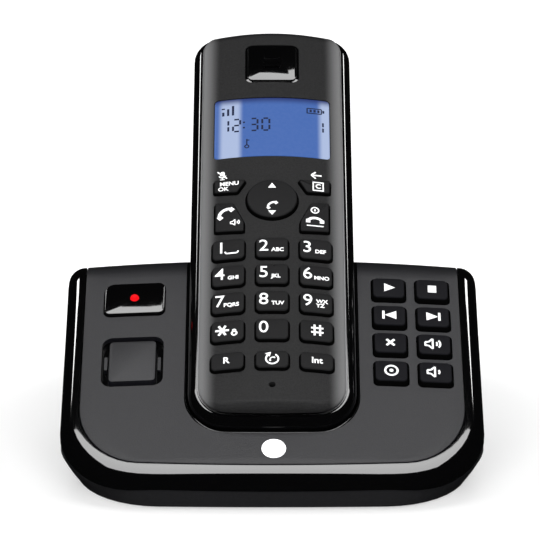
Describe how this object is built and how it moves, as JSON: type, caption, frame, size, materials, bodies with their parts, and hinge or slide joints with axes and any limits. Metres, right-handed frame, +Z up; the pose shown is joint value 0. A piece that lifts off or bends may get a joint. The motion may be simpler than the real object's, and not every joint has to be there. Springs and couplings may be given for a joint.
{
  "type": "cordless telephone",
  "caption": "Black cordless telephone: a slim handset with keypad and blue display stands in the cradle of a wedge-shaped answering machine base.",
  "frame": {"origin": "on the floor plane under the middle of the bounding box", "axes": "+X to the user's right, +Y from the user towards the back, +Z up"},
  "size_m": [0.1222, 0.1416, 0.1183],
  "materials": {
    "charcoal_plastic": "fine matte charcoal plastic with a faint speckle",
    "gloss_black_plastic": "high gloss piano black plastic",
    "satin_black_plastic": "fine textured satin black plastic",
    "key_plastic": "satin near-black keys with white printed symbols",
    "bright_trim": "bright metallised plastic band",
    "blue_display_lens": "clear hard window over a blue backlit display",
    "red_lamp": "diffusing red lamp",
    "display_module_grey": "display module housing",
    "circuit_board_green": "solder-masked circuit board",
    "black_rubber": "soft matte rubber",
    "zinc_plated_steel": "zinc plated steel",
    "gold_plated_contact": "gold plated contact",
    "battery_sleeve": "shrink sleeve round two cells"
  },
  "bodies": {
    "base": {"base_bottom_case": "satin_black_plastic", "base_key_board": "circuit_board_green", "base_keypad_mat": "black_rubber", "base_loudspeaker": "zinc_plated_steel", "base_main_board": "circuit_board_green", "base_top_case": "gloss_black_plastic", "base_top_plate": "charcoal_plastic", "front_foot": "black_rubber", "handset_cradle": "gloss_black_plastic", "left_base_screw": "zinc_plated_steel", "line_socket": "satin_black_plastic", "message_lamp": "red_lamp", "message_window": "gloss_black_plastic", "rear_foot": "black_rubber", "right_base_screw": "zinc_plated_steel"},
    "handset": {"handset_front_shell": "charcoal_plastic", "handset_trim_band": "bright_trim", "handset_rear_shell": "gloss_black_plastic", "battery_pack": "battery_sleeve", "earpiece_cover": "gloss_black_plastic", "display_lens": "blue_display_lens", "display_module": "display_module_grey", "earpiece_speaker": "zinc_plated_steel", "hands_free_speaker": "zinc_plated_steel", "handset_circuit_board": "circuit_board_green", "handset_keypad_mat": "black_rubber", "handset_charge_contacts": "gold_plated_contact", "left_handset_screw": "zinc_plated_steel", "right_handset_screw": "zinc_plated_steel"},
    "battery_door": {"battery_door": "gloss_black_plastic"},
    "charge_pins": {"charge_pin_block": "gold_plated_contact"},
    "play_key": {"play_key": "key_plastic"},
    "stop_key": {"stop_key": "key_plastic"},
    "previous_key": {"previous_key": "key_plastic"},
    "next_key": {"next_key": "key_plastic"},
    "delete_key": {"delete_key": "key_plastic"},
    "volume_up_key": {"volume_up_key": "key_plastic"},
    "information_key": {"information_key": "key_plastic"},
    "volume_down_key": {"volume_down_key": "key_plastic"},
    "page_key": {"page_key": "key_plastic"},
    "end_key": {"end_key": "key_plastic"},
    "hash_key": {"hash_key": "key_plastic"},
    "intercom_key": {"intercom_key": "key_plastic"},
    "left_soft_key": {"left_soft_key": "key_plastic"},
    "navigation_key": {"navigation_key": "key_plastic"},
    "number_key_0": {"number_key_0": "key_plastic"},
    "number_key_1": {"number_key_1": "key_plastic"},
    "number_key_2": {"number_key_2": "key_plastic"},
    "number_key_3": {"number_key_3": "key_plastic"},
    "number_key_4": {"number_key_4": "key_plastic"},
    "number_key_5": {"number_key_5": "key_plastic"},
    "number_key_6": {"number_key_6": "key_plastic"},
    "number_key_7": {"number_key_7": "key_plastic"},
    "number_key_8": {"number_key_8": "key_plastic"},
    "number_key_9": {"number_key_9": "key_plastic"},
    "recall_key": {"recall_key": "key_plastic"},
    "redial_key": {"redial_key": "key_plastic"},
    "right_soft_key": {"right_soft_key": "key_plastic"},
    "star_key": {"star_key": "key_plastic"},
    "talk_key": {"talk_key": "key_plastic"}
  },
  "joints": [
    {"name": "handset_lift", "type": "slide", "parent": "base", "child": "handset", "axis": [0, -0.6088, 0.7934], "range_m": [0, 0.12]},
    {"name": "battery_door_slide", "type": "slide", "parent": "handset", "child": "battery_door", "axis": [0, 0.7934, 0.6088], "range_m": [0, 0.065]},
    {"name": "charge_pins_press", "type": "slide", "parent": "base", "child": "charge_pins", "axis": [0, -0.6088, 0.7934], "range_m": [-0.0008, 0], "stiffness_N_per_m": 400, "springref_m": 0.0005},
    {"name": "play_key_press", "type": "slide", "parent": "base", "child": "play_key", "axis": [0, -0.5736, 0.8192], "range_m": [-0.0008, 0], "stiffness_N_per_m": 400, "springref_m": 0.0005},
    {"name": "stop_key_press", "type": "slide", "parent": "base", "child": "stop_key", "axis": [0, -0.5736, 0.8192], "range_m": [-0.0008, 0], "stiffness_N_per_m": 400, "springref_m": 0.0005},
    {"name": "previous_key_press", "type": "slide", "parent": "base", "child": "previous_key", "axis": [0, -0.5736, 0.8192], "range_m": [-0.0008, 0], "stiffness_N_per_m": 400, "springref_m": 0.0005},
    {"name": "next_key_press", "type": "slide", "parent": "base", "child": "next_key", "axis": [0, -0.5736, 0.8192], "range_m": [-0.0008, 0], "stiffness_N_per_m": 400, "springref_m": 0.0005},
    {"name": "delete_key_press", "type": "slide", "parent": "base", "child": "delete_key", "axis": [0, -0.5736, 0.8192], "range_m": [-0.0008, 0], "stiffness_N_per_m": 400, "springref_m": 0.0005},
    {"name": "volume_up_key_press", "type": "slide", "parent": "base", "child": "volume_up_key", "axis": [0, -0.5736, 0.8192], "range_m": [-0.0008, 0], "stiffness_N_per_m": 400, "springref_m": 0.0005},
    {"name": "information_key_press", "type": "slide", "parent": "base", "child": "information_key", "axis": [0, -0.5736, 0.8192], "range_m": [-0.0008, 0], "stiffness_N_per_m": 400, "springref_m": 0.0005},
    {"name": "volume_down_key_press", "type": "slide", "parent": "base", "child": "volume_down_key", "axis": [0, -0.5736, 0.8192], "range_m": [-0.0008, 0], "stiffness_N_per_m": 400, "springref_m": 0.0005},
    {"name": "page_key_press", "type": "slide", "parent": "base", "child": "page_key", "axis": [0, -0.5736, 0.8192], "range_m": [-0.0008, 0], "stiffness_N_per_m": 400, "springref_m": 0.0005},
    {"name": "end_key_press", "type": "slide", "parent": "handset", "child": "end_key", "axis": [0, -0.6088, 0.7934], "range_m": [-0.0008, 0], "stiffness_N_per_m": 400, "springref_m": 0.0005},
    {"name": "hash_key_press", "type": "slide", "parent": "handset", "child": "hash_key", "axis": [0, -0.6088, 0.7934], "range_m": [-0.0008, 0], "stiffness_N_per_m": 400, "springref_m": 0.0005},
    {"name": "intercom_key_press", "type": "slide", "parent": "handset", "child": "intercom_key", "axis": [0, -0.6088, 0.7934], "range_m": [-0.0008, 0], "stiffness_N_per_m": 400, "springref_m": 0.0005},
    {"name": "left_soft_key_press", "type": "slide", "parent": "handset", "child": "left_soft_key", "axis": [0, -0.6088, 0.7934], "range_m": [-0.0008, 0], "stiffness_N_per_m": 400, "springref_m": 0.0005},
    {"name": "number_key_0_press", "type": "slide", "parent": "handset", "child": "number_key_0", "axis": [0, -0.6088, 0.7934], "range_m": [-0.0008, 0], "stiffness_N_per_m": 400, "springref_m": 0.0005},
    {"name": "number_key_1_press", "type": "slide", "parent": "handset", "child": "number_key_1", "axis": [0, -0.6088, 0.7934], "range_m": [-0.0008, 0], "stiffness_N_per_m": 400, "springref_m": 0.0005},
    {"name": "number_key_2_press", "type": "slide", "parent": "handset", "child": "number_key_2", "axis": [0, -0.6088, 0.7934], "range_m": [-0.0008, 0], "stiffness_N_per_m": 400, "springref_m": 0.0005},
    {"name": "number_key_3_press", "type": "slide", "parent": "handset", "child": "number_key_3", "axis": [0, -0.6088, 0.7934], "range_m": [-0.0008, 0], "stiffness_N_per_m": 400, "springref_m": 0.0005},
    {"name": "number_key_4_press", "type": "slide", "parent": "handset", "child": "number_key_4", "axis": [0, -0.6088, 0.7934], "range_m": [-0.0008, 0], "stiffness_N_per_m": 400, "springref_m": 0.0005},
    {"name": "number_key_5_press", "type": "slide", "parent": "handset", "child": "number_key_5", "axis": [0, -0.6088, 0.7934], "range_m": [-0.0008, 0], "stiffness_N_per_m": 400, "springref_m": 0.0005},
    {"name": "number_key_6_press", "type": "slide", "parent": "handset", "child": "number_key_6", "axis": [0, -0.6088, 0.7934], "range_m": [-0.0008, 0], "stiffness_N_per_m": 400, "springref_m": 0.0005},
    {"name": "number_key_7_press", "type": "slide", "parent": "handset", "child": "number_key_7", "axis": [0, -0.6088, 0.7934], "range_m": [-0.0008, 0], "stiffness_N_per_m": 400, "springref_m": 0.0005},
    {"name": "number_key_8_press", "type": "slide", "parent": "handset", "child": "number_key_8", "axis": [0, -0.6088, 0.7934], "range_m": [-0.0008, 0], "stiffness_N_per_m": 400, "springref_m": 0.0005},
    {"name": "number_key_9_press", "type": "slide", "parent": "handset", "child": "number_key_9", "axis": [0, -0.6088, 0.7934], "range_m": [-0.0008, 0], "stiffness_N_per_m": 400, "springref_m": 0.0005},
    {"name": "recall_key_press", "type": "slide", "parent": "handset", "child": "recall_key", "axis": [0, -0.6088, 0.7934], "range_m": [-0.0008, 0], "stiffness_N_per_m": 400, "springref_m": 0.0005},
    {"name": "redial_key_press", "type": "slide", "parent": "handset", "child": "redial_key", "axis": [0, -0.6088, 0.7934], "range_m": [-0.0008, 0], "stiffness_N_per_m": 400, "springref_m": 0.0005},
    {"name": "right_soft_key_press", "type": "slide", "parent": "handset", "child": "right_soft_key", "axis": [0, -0.6088, 0.7934], "range_m": [-0.0008, 0], "stiffness_N_per_m": 400, "springref_m": 0.0005},
    {"name": "star_key_press", "type": "slide", "parent": "handset", "child": "star_key", "axis": [0, -0.6088, 0.7934], "range_m": [-0.0008, 0], "stiffness_N_per_m": 400, "springref_m": 0.0005},
    {"name": "talk_key_press", "type": "slide", "parent": "handset", "child": "talk_key", "axis": [0, -0.6088, 0.7934], "range_m": [-0.0008, 0], "stiffness_N_per_m": 400, "springref_m": 0.0005},
    {"name": "navigation_key_rock", "type": "hinge", "parent": "handset", "child": "navigation_key", "pos_m": [0, 0.0044, 0.07412], "axis": [1, 0, 0], "range_deg": [-2.5, 2.5], "stiffness_Nm_per_rad": 0.2}
  ]
}
